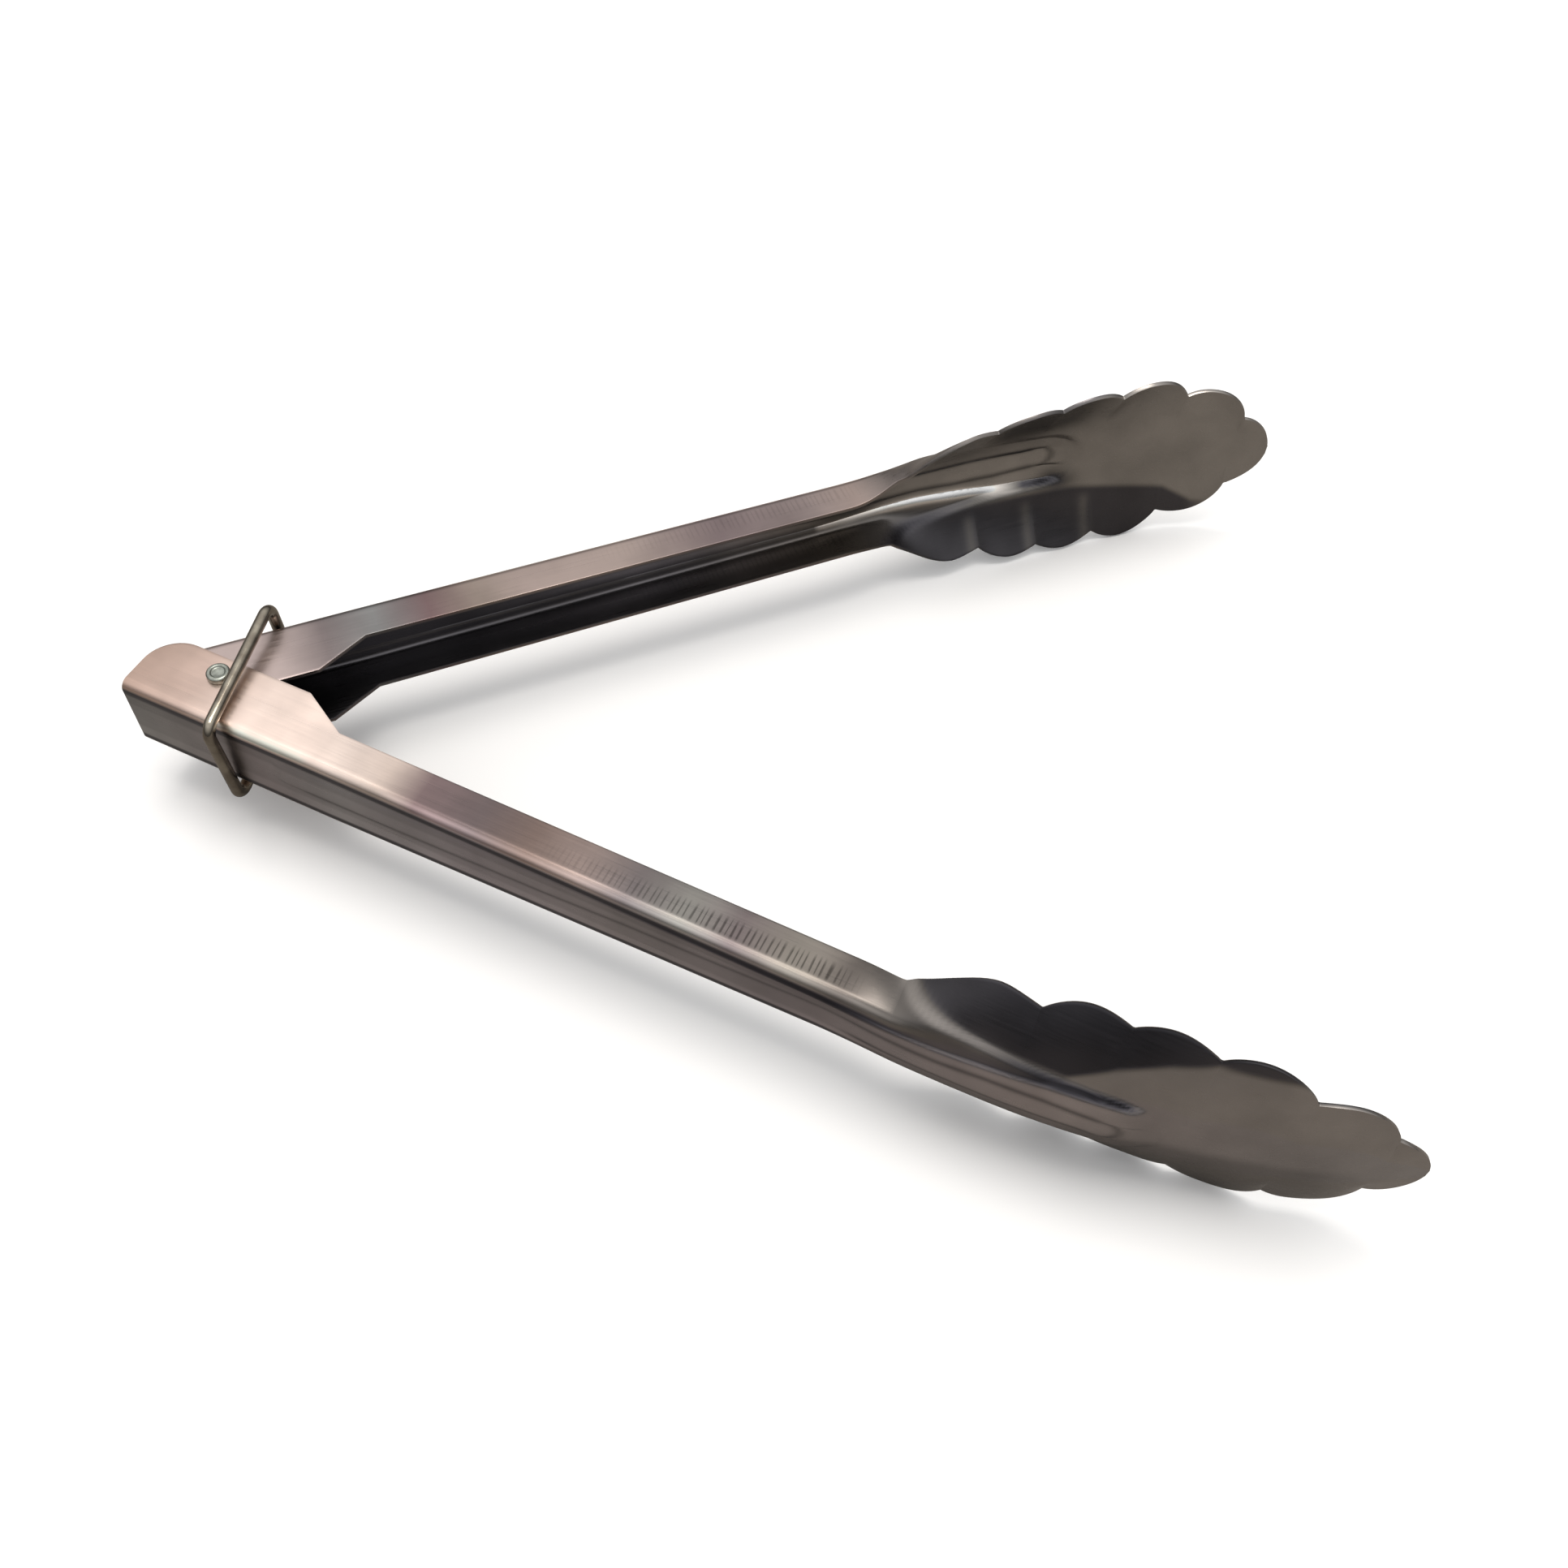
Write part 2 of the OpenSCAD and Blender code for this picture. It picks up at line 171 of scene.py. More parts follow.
def dull(u, t, z, inside):
    """Painted light and shade on the sheet, as a multiplier of plain satin (1).

    Dark lines in the ribs' creases and on the tongue's slopes are painted shade, and bright lines on the
    bends and ridges are painted highlights, for how the pressed relief catches the light.
    """
    tone = 1.0
    low, mid, high = track(u, rib_low), track(u, rib_mid), track(u, rib_high)
    # painted shade in the creases along the ribs' edges
    for at, depth, first, last in ((low, 0.85, 130, 177), (mid, 0.58, 20, 178)):
        run = ease((u - first) / 6) * ease((last - u) / 4)
        tone *= 1 - depth * run * math.exp(-(((z - at) / 0.75) ** 2))
    # painted shade round the end of the rib between them
    middle, r = (low + mid) / 2, (mid - low) / 2
    end = 175.6 + 1.2 * math.sqrt(max(0.0, r * r - (z - middle) ** 2))
    tone *= 1 - 0.5 * math.exp(-(((u - end) / 0.9) ** 2)) * zone(z, low, mid, 0.4)
    # painted highlight on the ribs' backs
    run = ease((u - 132) / 10) * ease((184 - u) / 8)
    tone *= 1 + 0.22 * run * zone(z, low + 0.6, high - 0.6, 1.2)
    if u < 150:
        fade = ease((150 - u) / 24)
        if inside:
            # what light gets into the channel slides along the bead's back
            run = ease((u - 44) / 40) * ease((134 - u) / 20)
            tone *= 1 + 1.6 * run * math.exp(-(((z - 2.6) / 1.1) ** 2))
        else:
            # painted highlight along the bend, painted shade in the shallow hollow beside it
            bend_highlight = track(u, [(-15, 0.3), (40, 0.2), (52, 2.7), (86, 2.0), (100, 2.6), (120, 2.2)])
            tone *= 1 + bend_highlight * fade * zone(t, 0.395, 0.5, 0.05)
            tone *= 1 - 0.78 * fade * zone(t, 0.3, 0.38, 0.04)
            # the upper part of the web painted darker and the lower part painted lighter
            tone *= 1 - 0.2 * fade * zone(z, 3.2, 6.0, 1.0)
            tone *= 1 + 0.25 * fade * zone(z, -6.0, -3.2, 1.0)
    if u > 124:
        h, half = scallop(u), tongue_half(min(u, 183.0))
        share = abs(z) / h
        # painted shade on the tongue's slope beside the rib
        wall = zone(z, high - 0.2, half + 0.3, 0.8) * ease((184.5 - u) / 3)
        if inside:
            ridge = track(
                u, [(124, 5.0), (148, 5.2), (154, 5.7), (160, 6.3), (166, 7.0), (178, 7.6)]
            )
            shadow = track(u, [(124, 0), (134, 0.45), (166, 0.5), (177, 0.9), (184, 0.9)])
            tone *= 1 - shadow * wall
            glint = track(
                u, [(120, 0), (126, 3.5), (150, 5.5), (164, 6.5), (169, 3.0), (173, 0), (184, 0)]
            )
            tone *= 1 + glint * math.exp(-(((z - ridge) / 0.75) ** 2))
            # painted shade round the tongue's end
            tone *= 1 - 0.7 * math.exp(-(((u - 180.5) / 4) ** 2 + ((z - 6.4) / 2.4) ** 2))
            if z > 0:
                # painted shade on the upper skirt past the tongue's edge
                edge = track(u, [(136, 8.4), (176, 8.2), (184, 8.0), (205, 10.0), (212, 14.0)])
                beyond = ease((z - edge) / 2 + 0.3)
                tone *= 1 - 0.72 * beyond * ease((u - 132) / 8) * ease((218 - u) / 8)
                # painted highlights along the creases that run in from the notches
                for notch_u, _ in notches[1:4]:
                    glow = math.exp(-(((u - notch_u + 1.5) / 1.3) ** 2))
                    tone *= 1 + 0.9 * glow * ease((z - edge - 1) / 3)
            else:
                # painted shade over the lower half of the spoon
                beyond = ease((share - 0.35) / 0.3)
                tone *= 1 - 0.5 * beyond * ease((u - 158) / 8) * ease((187 - u) / 8)
        else:
            shadow = track(
                u, [(124, 0), (134, 0.35), (150, 0.5), (158, 0.6), (168, 0.86), (178, 0.97)]
            )
            tone *= 1 - shadow * wall
            if z > 0:
                # painted shade on the upper skirt past the tongue's edge
                edge = track(
                    u, [(134, 9.6), (168, 8.2), (175, 12.6), (182, 16.2), (189, 18.6), (204, 20.5)]
                )
                depth = track(u, [(134, 0), (142, 0.66), (156, 0.78), (178, 0.84), (204, 0.6)])
                tone *= 1 - depth * ease((z - edge) / 1.6 + 0.4)
                # painted highlight along the tongue's edge, by the crease
                crease_highlight = math.exp(-(((z - half - 0.1) / 0.85) ** 2))
                crease_highlight *= ease((u - 126) / 6)
                crease_highlight *= ease((166 - u) / 24)
                tone *= 1 + 1.7 * crease_highlight
            else:
                # painted shade on the lower side of the spoon and towards its rim
                lower = ease((-z - 0.5) / 4)
                tone *= 1 - 0.36 * lower * ease((u - 166) / 12) * ease((220 - u) / 12)
                rim = ease((share - 0.6) / 0.3)
                tone *= 1 - 0.4 * rim * ease((u - 140) / 8) * ease((194 - u) / 10)
    return tone


# shares of half a section that are web, and web with its bend
FLAT, BEND = 0.344, 0.56


def section_point(t, u, width, tail):
    """Where point t lies, 0 in the middle of the section and 1 at its edge: (across, inwards)."""
    taper = min(1.0, max(0.0, (u - cheek_end) / (flare_from - cheek_end)))
    h = width / 2 + (neck_w - width) / 2 * taper
    if t < FLAT:
        channel = ((h - bend_r) * t / FLAT, -web_out)
    elif t < BEND:
        a = math.pi / 2 * (t - FLAT) / (BEND - FLAT)
        channel = (h - bend_r + bend_r * math.sin(a), -web_out + bend_r * (1 - math.cos(a)))
    else:
        low = -web_out + bend_r
        channel = (h, low + (flange_edge(u, tail) - low) * (t - BEND) / (1 - BEND))
    blend = ease((u - flare_from) / flare_len)
    if blend == 0:
        return channel
    x = max(0.0, u - reach + curl_len)
    curl = curl_r - math.sqrt(curl_r**2 - x * x)
    scallops_len = notches[-1][0] - notches[0][0] - flare_len
    f = min(1.0, max(0.0, (u - notches[0][0] - flare_len / 2) / scallops_len))
    z = t * scallop(u)
    # the spoon is most dished at its shoulder and nearly flat towards the tip
    head = (z, head_in - web_out + curl + (0.026 - 0.02 * f) * z * z)
    return tuple((1 - blend) * c + blend * s for c, s in zip(channel, head))


def stations(tail):
    """Places along the arm where the sheet gets a row of points, closer where it turns sharply."""
    rows = [cheek_r * (1 - math.cos(math.radians(7.5 * i))) - tail for i in range(12)]
    u = cheek_r - tail
    while u < 17.2:
        rows.append(u)
        u += 0.9
    rows += [17.4 + 0.4 * i for i in range(25)]
    rows += [27.4 + 1.2 * i for i in range(84)]
    rows += [128.2 + 0.6 * i for i in range(18)]
    for (p, _), (q, _) in zip(notches, notches[1:]):
        rows += [p + (q - p) * (1 - math.cos(math.pi * i / 28)) / 2 for i in range(28)]
    rows += [reach - tip_depth + tip_depth * math.sin(math.pi / 2 * i / 26) for i in range(27)]
    return rows


columns = (
    [FLAT * i / 22 for i in range(22)]
    + [FLAT + (BEND - FLAT) * i / 11 for i in range(11)]
    + [BEND + (1 - BEND) * i / 20 for i in range(21)]
)
columns = [-t for t in reversed(columns[1:])] + columns


def press_arm(name, tail, width, turn):
    """Presses one arm from a grid: shape, wall, rivet holes, rounded edges, then its turn."""
    rows = stations(tail)
    bpy.ops.mesh.primitive_grid_add(
        x_subdivisions=len(rows) - 1, y_subdivisions=len(columns) - 1, size=1, location=(0, 0, 0)
    )
    arm = bpy.context.object
    arm.name = arm.data.name = name
    points = arm.data.vertices
    place = {}
    for v in points:
        u = rows[round((v.co.x + 0.5) * (len(rows) - 1))]
        t = columns[round((v.co.y + 0.5) * (len(columns) - 1))]
        side = -1 if t < 0 else 1
        across, inwards = section_point(abs(t), u, width, tail)
        z = side * across
        # the ribs fade out at the bend into the flange; past the flare there is no flange
        off_flange = 1 - ease((abs(t) - FLAT) / 0.08) * (1 - ease((u - 126) / 14))
        inwards -= relief(u, z) * off_flange
        v.co = (u * mm, inwards * mm, z * mm)
        place[v.index] = (u, abs(t), z)
    outer_count = len(points)

    bpy.ops.object.mode_set(mode="EDIT")
    bpy.ops.mesh.select_all(action="SELECT")
    bpy.ops.mesh.normals_make_consistent(inside=False)
    bpy.ops.object.mode_set(mode="OBJECT")
    middle = min(arm.data.polygons, key=lambda f: (f.center - Vector((0.05, -web_out * mm, 0))).length)
    if middle.normal.y > 0:
        arm.data.flip_normals()

    thick = arm.modifiers.new("Thickness", "SOLIDIFY")
    thick.thickness, thick.offset = sheet * mm, -1
    bpy.ops.object.modifier_apply(modifier="Thickness")
    # each point keeps where it is on the stamping, for its colour and its painted light and shade; the copies
    # come second
    spots = [place[i % outer_count] for i in range(len(arm.data.vertices))]
    faces = [0.0 if i < outer_count else 1.0 for i in range(len(arm.data.vertices))]
    for title, values in (
        ("along", [u for u, t, z in spots]),
        ("around", [t for u, t, z in spots]),
        ("inner_face", faces),
        ("dull", [dull(u, t, z, inside) for (u, t, z), inside in zip(spots, faces)]),
    ):
        arm.data.attributes.new(title, "FLOAT", "POINT").data.foreach_set("value", values)

    # rivet hole through both cheeks
    bpy.ops.mesh.primitive_cylinder_add(vertices=48, radius=hole_d / 2 * mm, depth=0.04, location=(0, 0, 0))
    drill = bpy.context.object
    bpy.ops.object.select_all(action="DESELECT")
    bpy.context.view_layer.objects.active = arm
    arm.select_set(True)
    cut = arm.modifiers.new("Hole", "BOOLEAN")
    cut.operation, cut.solver, cut.object = "DIFFERENCE", "EXACT", drill
    bpy.ops.object.modifier_apply(modifier="Hole")
    bpy.data.objects.remove(drill)

    soften = arm.modifiers.new("Soft edges", "BEVEL")
    soften.width, soften.segments = edge_soft * mm, 2
    soften.limit_method, soften.angle_limit = "ANGLE", math.radians(50)
    bpy.ops.object.modifier_apply(modifier="Soft edges")
    arm.data.transform(turn)
    bpy.ops.object.shade_smooth_by_angle(angle=math.radians(40))
    bpy.ops.object.select_all(action="DESELECT")
    return arm


def linear(hex_colour):
    """An sRGB hex colour as Blender's linear RGBA."""
    parts = [int(hex_colour[i : i + 2], 16) / 255 for i in (1, 3, 5)]
    return tuple(c / 12.92 if c <= 0.04045 else ((c + 0.055) / 1.055) ** 2.4 for c in parts) + (1.0,)


def add_node(tree, kind, settings=None, links=None):
    """Adds one node, with its settings and what feeds it."""
    node = tree.nodes.new(kind)
    for key, value in (settings or {}).items():
        if key == "stops":
            ramp = node.color_ramp
            while len(ramp.elements) < len(value):
                ramp.elements.new(1.0)
            for element, (at, colour) in zip(ramp.elements, value):
                element.position = at
                element.color = linear(colour) if isinstance(colour, str) else (colour, colour, colour, 1)
        elif isinstance(key, int) or key in node.inputs:
            node.inputs[key].default_value = value
        else:
            setattr(node, key, value)
    for key, source in (links or {}).items():
        tree.links.new(source, node.inputs[key])
    return node


def new_material(name):
    """An empty material, and its node tree."""
    material = bpy.data.materials.new(name)
    material.use_nodes = True
    tree = material.node_tree
    tree.nodes.clear()
    return material, tree


def arm_steel(name, turn, flange, web, inside, chatter):
    """Stainless sheet, rolled to a satin and handled.

    To the eye: soft, stretched reflections with a fine grain along the arm. The flange, the web and the
    inside of the channel each take their own colour along the arm, which carries painted light and shade:
    bright and warm on the flanges towards the pivot, darker from the neck on, and dark inside the channel.
    """
    material, tree = new_material(name)
    coords = add_node(tree, "ShaderNodeTexCoord")
    # object space turned so that X runs along the arm
    angles = turn.to_3x3().inverted().to_euler()
    local = add_node(tree, "ShaderNodeMapping", {"Rotation": angles}, {"Vector": coords.outputs["Object"]})
    along = add_node(tree, "ShaderNodeAttribute", {"attribute_name": "along"})
    around = add_node(tree, "ShaderNodeAttribute", {"attribute_name": "around"})
    inner = add_node(tree, "ShaderNodeAttribute", {"attribute_name": "inner_face"})
    share = add_node(tree, "ShaderNodeMapRange", {1: -15.0, 2: 225.0}, {0: along.outputs["Fac"]})
    # painted light and shade by region: the flange's, the web's and the channel inside's colours along the
    # arm
    flange_tone = add_node(tree, "ShaderNodeValToRGB", {"stops": flange}, {"Fac": share.outputs[0]})
    web_tone = add_node(tree, "ShaderNodeValToRGB", {"stops": web}, {"Fac": share.outputs[0]})
    inside_tone = add_node(tree, "ShaderNodeValToRGB", {"stops": inside}, {"Fac": share.outputs[0]})
    is_flange = add_node(tree, "ShaderNodeMapRange", {1: 0.36, 2: 0.41}, {0: around.outputs["Fac"]})
    outside = add_node(
        tree, "ShaderNodeMix", {"data_type": "RGBA"},
        {0: is_flange.outputs[0], 6: web_tone.outputs[0], 7: flange_tone.outputs[0]},
    )
    tone = add_node(
        tree, "ShaderNodeMix", {"data_type": "RGBA"},
        {0: inner.outputs["Fac"], 6: outside.outputs[2], 7: inside_tone.outputs[0]},
    )
    # cloudy patches some 12 mm across, from handling and from the rolled surface
    clouds = add_node(
        tree, "ShaderNodeTexNoise", {"Scale": 80.0, "Detail": 3.0}, {"Vector": local.outputs[0]}
    )
    patch = add_node(
        tree, "ShaderNodeMapRange", {1: 0.3, 2: 0.7, 3: 0.86, 4: 1.12}, {0: clouds.outputs["Fac"]}
    )
    # the painted light and shade from the sheet's attribute scale the colour
    painted_light_attr = add_node(tree, "ShaderNodeAttribute", {"attribute_name": "dull"})
    shade = add_node(
        tree, "ShaderNodeMath", {"operation": "MULTIPLY"}, {0: patch.outputs[0], 1: painted_light_attr.outputs["Fac"]}
    )
    # where the painted shade is deepest, the colour turns a cold blue-black
    shade_tint = add_node(
        tree, "ShaderNodeMapRange", {1: 0.2, 2: 0.6, 3: 0.6, 4: 0.0}, {0: painted_light_attr.outputs["Fac"]}
    )
    cast = add_node(
        tree, "ShaderNodeMix", {"data_type": "RGBA", 7: linear("#a09fb0")},
        {0: shade_tint.outputs[0], 6: tone.outputs[2]},
    )
    # chatter from the folding tool: short dark nicks 1.1 mm apart across the flange, near the neck
    row = add_node(
        tree, "ShaderNodeCombineXYZ", {}, {0: along.outputs["Fac"], 1: around.outputs["Fac"]}
    )
    nicks = add_node(
        tree, "ShaderNodeTexWave",
        {"Scale": 0.285, "Distortion": 5.0, "Detail": 3.0, "Detail Scale": 1.6},
        {"Vector": row.outputs[0]},
    )
    thin = add_node(
        tree, "ShaderNodeMapRange", {1: 0.0, 2: 0.35, 3: 1.0, 4: 0.0}, {0: nicks.outputs["Fac"]}
    )
    starts = add_node(tree, "ShaderNodeMapRange", {1: 70.0, 2: 104.0}, {0: along.outputs["Fac"]})
    stops = add_node(
        tree, "ShaderNodeMapRange", {1: 127.0, 2: 133.0, 3: 1.0, 4: 0.0}, {0: along.outputs["Fac"]}
    )
    across = add_node(
        tree, "ShaderNodeValToRGB",
        {"stops": [(0.55, 0.0), (0.6, 1.0), (0.74, 1.0), (0.84, 0.0)]}, {"Fac": around.outputs["Fac"]},
    )
    depth = add_node(tree, "ShaderNodeMath", {"operation": "MULTIPLY", 1: chatter}, {0: thin.outputs[0]})
    for part in (starts.outputs[0], stops.outputs[0], across.outputs[0]):
        depth = add_node(tree, "ShaderNodeMath", {"operation": "MULTIPLY"}, {0: depth.outputs[0], 1: part})
    kept = add_node(tree, "ShaderNodeMath", {"operation": "SUBTRACT", 0: 1.0}, {1: depth.outputs[0]})
    nicked = add_node(
        tree, "ShaderNodeMath", {"operation": "MULTIPLY"}, {0: shade.outputs[0], 1: kept.outputs[0]}
    )
    mottled = add_node(
        tree, "ShaderNodeVectorMath", {"operation": "SCALE"},
        {0: cast.outputs[2], "Scale": nicked.outputs[0]},
    )
    # rolling lines along the arm, some 17 mm long and 0.4 mm apart, with finer ones between
    stretch = add_node(
        tree, "ShaderNodeMapping", {"Scale": (60, 2500, 2500)}, {"Vector": local.outputs[0]}
    )
    lines = add_node(
        tree, "ShaderNodeTexNoise", {"Scale": 1.0, "Detail": 4.0, "Roughness": 0.6},
        {"Vector": stretch.outputs[0]},
    )
    rough = add_node(
        tree, "ShaderNodeMapRange", {1: 0.3, 2: 0.7, 3: 0.26, 4: 0.38}, {0: lines.outputs["Fac"]}
    )
    bump = add_node(
        tree, "ShaderNodeBump", {"Strength": 0.12, "Distance": 0.05 * mm}, {"Height": lines.outputs["Fac"]}
    )
    steel = add_node(
        tree, "ShaderNodeBsdfPrincipled", {"Metallic": 1.0},
        {"Base Color": mottled.outputs[0], "Roughness": rough.outputs[0], "Normal": bump.outputs[0]},
    )
    add_node(tree, "ShaderNodeOutputMaterial", {}, {"Surface": steel.outputs[0]})
    return material


outer_turn = Matrix.Rotation(-spread / 2, 4, "Z")
outer_arm = press_arm("outer_arm_sheet", outer_tail, outer_w, outer_turn)
outer_arm.data.materials.append(
    arm_steel(
        "pressed_stainless_outer",
        outer_turn,
        # flange colours along the arm, painted light: bright and warm at the pivot, darker mauve from the
        # neck on
        [
            (0.0, "#c4a99b"), (0.05, "#d8beb1"), (0.11, "#f6e1d5"), (0.15, "#f6e1d5"), (0.19, "#dfcec4"),
            (0.23, "#c2b2a8"), (0.262, "#7c6b6b"), (0.31, "#695e5e"), (0.354, "#776761"), (0.396, "#847671"),
            (0.437, "#6c6565"), (0.479, "#74726e"), (0.52, "#635b5b"), (0.562, "#746f69"), (0.604, "#67615d"),
            (0.65, "#8f8984"), (0.7, "#aaa39f"), (1.0, "#aca6a1"),
        ],
        # web colours along the arm, painted light and shade, close to plain steel
        [
            (0.0, "#a2a2a2"), (0.12, "#a8a0a3"), (0.19, "#b6b4b7"), (0.31, "#b6afb5"), (0.44, "#aca6a8"),
            (0.56, "#a69ea2"), (0.75, "#aca3a2"), (1.0, "#aaa6a4"),
        ],
        # colours inside the channel, painted shade
        [
            (0.0, "#6c6a6c"), (0.25, "#6c6a6c"), (0.44, "#767274"), (0.52, "#7d7876"), (0.6, "#86807a"),
            (0.67, "#a39d98"), (1.0, "#aea9a3"),
        ],
        0.6,
    )
)
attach(outer_arm, "outer_arm_body")
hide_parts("outer_arm")

inner_turn = Matrix.Rotation(spread / 2, 4, "Z") @ Matrix.Rotation(math.pi, 4, "X")
inner_arm = press_arm("inner_arm_sheet", inner_tail, inner_w, inner_turn)
inner_arm.data.materials.append(
    arm_steel(
        "pressed_stainless_inner",
        inner_turn,
        # flange colours along the arm, painted light: bright at the pivot and darker past it
        [
            (0.0, "#c9b7b2"), (0.1, "#c9b7b2"), (0.146, "#857a79"), (0.187, "#8f8e8d"), (0.23, "#816b6b"),
            (0.27, "#9d8e85"), (0.31, "#ab9a93"), (0.396, "#a79790"), (0.479, "#887979"), (0.562, "#938582"),
            (0.604, "#a2918a"), (0.66, "#a29a96"), (1.0, "#aca6a1"),
        ],
        # web colours along the arm, painted light and shade, close to plain steel
        [(0.0, "#a2a2a2"), (0.31, "#b2acb0"), (0.6, "#a8a1a3"), (1.0, "#aaa6a4")],
        # colours inside the channel, painted shade
        [
            (0.0, "#666468"), (0.25, "#6a686b"), (0.44, "#757274"), (0.52, "#7d7876"), (0.6, "#86807a"),
            (0.67, "#a5a09b"), (1.0, "#afaaa4"),
        ],
        0.15,
    )
)
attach(inner_arm, "inner_arm_body")
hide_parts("inner_arm")

# ---------------------------------------------------------------- pivot rivet
# A semi-tubular steel rivet: turned head with a shallow recess on top, plain
# shank through all four cheeks, hollow end rolled over underneath.
rivet_r, rivet_top = 1.6, outer_w / 2 + 0.05
head_r, head_top_r, head_h, head_chamfer = 2.2, 1.9, 0.95, 0.25
dimple_r, dimple_floor_r, dimple_depth = 1.45, 1.2, 0.32
clinch_r = 2.1
bpy.ops.mesh.primitive_cylinder_add(
    vertices=64, radius=rivet_r * mm, depth=2 * rivet_top * mm, location=(0, 0, 0)
)
rivet = bpy.context.object
rivet.name = rivet.data.name = "pivot_rivet_turned"


def cap_of(piece, z_sign):
    """Selects the end face of a round piece that looks up (1) or down (-1)."""
    bpy.ops.mesh.select_all(action="DESELECT")
    bpy.ops.object.mode_set(mode="OBJECT")
    max(piece.data.polygons, key=lambda f: f.center.z * z_sign + (f.normal.z * z_sign > 0.99)).select = True
    bpy.ops.object.mode_set(mode="EDIT")


def grow_cap(factor, rise):
    """Extrudes the selected end by rise millimetres and widens it."""
    bpy.ops.mesh.extrude_region_move(TRANSFORM_OT_translate={"value": (0, 0, rise * mm)})
    bpy.ops.transform.resize(value=(factor, factor, 1))


bpy.ops.object.mode_set(mode="EDIT")
bpy.ops.mesh.select_mode(type="FACE")
cap_of(rivet, 1)
grow_cap(head_r / rivet_r, 0.0)
grow_cap(1.0, head_h)
grow_cap(head_top_r / head_r, head_chamfer)
grow_cap(dimple_r / head_top_r, 0.0)
grow_cap(dimple_floor_r / dimple_r, -dimple_depth)
# the clinched end: out, rolled round, and back up inside as the hollow
cap_of(rivet, -1)
grow_cap(clinch_r / rivet_r, 0.0)
grow_cap(1.04, -0.4)
grow_cap(0.86, -0.4)
grow_cap(0.62, -0.1)
grow_cap(0.86, 0.5)
grow_cap(1.0, 4.2)
bpy.ops.object.mode_set(mode="OBJECT")
rivet_edges = rivet.modifiers.new("Soft edges", "BEVEL")
rivet_edges.width, rivet_edges.segments = 0.1 * mm, 3
rivet_edges.limit_method, rivet_edges.angle_limit = "ANGLE", math.radians(30)
bpy.ops.object.modifier_apply(modifier="Soft edges")
bpy.ops.object.shade_smooth_by_angle(angle=math.radians(40))
bpy.ops.object.select_all(action="DESELECT")

# zinc plated steel: paler and a touch greener than the arms, with specks of grime about 1 mm across
rivet_steel, tree = new_material("turned_zinc_plated_steel")
coords = add_node(tree, "ShaderNodeTexCoord")
grime = add_node(
    tree, "ShaderNodeTexNoise", {"Scale": 900.0, "Detail": 3.0}, {"Vector": coords.outputs["Object"]}
)
tone = add_node(
    tree, "ShaderNodeValToRGB", {"stops": [(0.35, "#8d9088"), (0.65, "#b4b8ae")]},
    {"Fac": grime.outputs["Fac"]},
)
steel = add_node(
    tree, "ShaderNodeBsdfPrincipled", {"Metallic": 1.0, "Roughness": 0.3},
    {"Base Color": tone.outputs[0]},
)
add_node(tree, "ShaderNodeOutputMaterial", {}, {"Surface": steel.outputs[0]})
rivet.data.materials.append(rivet_steel)
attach(rivet, "outer_arm_body")
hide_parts("pivot_rivet")

# ---------------------------------------------------------------- torsion spring
# Six turns of hard drawn 1.2 mm wire round the rivet, with a straight leg
# along the inside of each web. It pushes the arms apart.
wire_d, coil_turns, leg_len = 1.2, 6, 34
coil_play, coil_gap, seat_gap = 0.6, 0.12, 0.1
coil_r = rivet_r + coil_play + wire_d / 2
coil_h = coil_turns * (wire_d + coil_gap)
leg_angle = math.asin((web_out - sheet - seat_gap - wire_d / 2 - coil_r) / leg_len)
outer_leg, inner_leg = -spread / 2 - leg_angle, spread / 2 + leg_angle
start = outer_leg - math.pi / 2
sweep = 2 * coil_turns * math.pi + start - inner_leg - math.pi / 2
coil_steps = 260
bpy.ops.curve.primitive_bezier_curve_add(location=(0, 0, 0))
spring = bpy.context.object
spring.name = spring.data.name = "torsion_spring_wire"
spring.data.splines.clear()
line = spring.data.splines.new("POLY")
turns = [start - sweep * i / coil_steps for i in range(coil_steps + 1)]
path = [
    (coil_r * math.cos(a), coil_r * math.sin(a), coil_h * (i / coil_steps - 0.5))
    for i, a in enumerate(turns)
]


def leg_point(a, side, length):
    """A point on the leg that leaves the coil's top (1) or bottom (-1) in direction a."""
    b = a + side * math.pi / 2
    return (
        coil_r * math.cos(b) + length * math.cos(a),
        coil_r * math.sin(b) + length * math.sin(a),
        side * coil_h / 2,
    )


path = [leg_point(outer_leg, -1, s) for s in (leg_len, 20, 8, 2)] + path
path += [leg_point(inner_leg, 1, s) for s in (2, 8, 20, leg_len)]
line.points.add(len(path) - 1)
for point, at in zip(line.points, path):
    point.co = (at[0] * mm, at[1] * mm, at[2] * mm, 1)
spring.data.dimensions = "3D"
spring.data.bevel_depth = wire_d / 2 * mm
spring.data.bevel_resolution = 4
spring.data.use_fill_caps = True
bpy.ops.object.convert(target="MESH")
spring = bpy.context.object
bpy.ops.object.shade_smooth_by_angle(angle=math.radians(40))
bpy.ops.object.select_all(action="DESELECT")
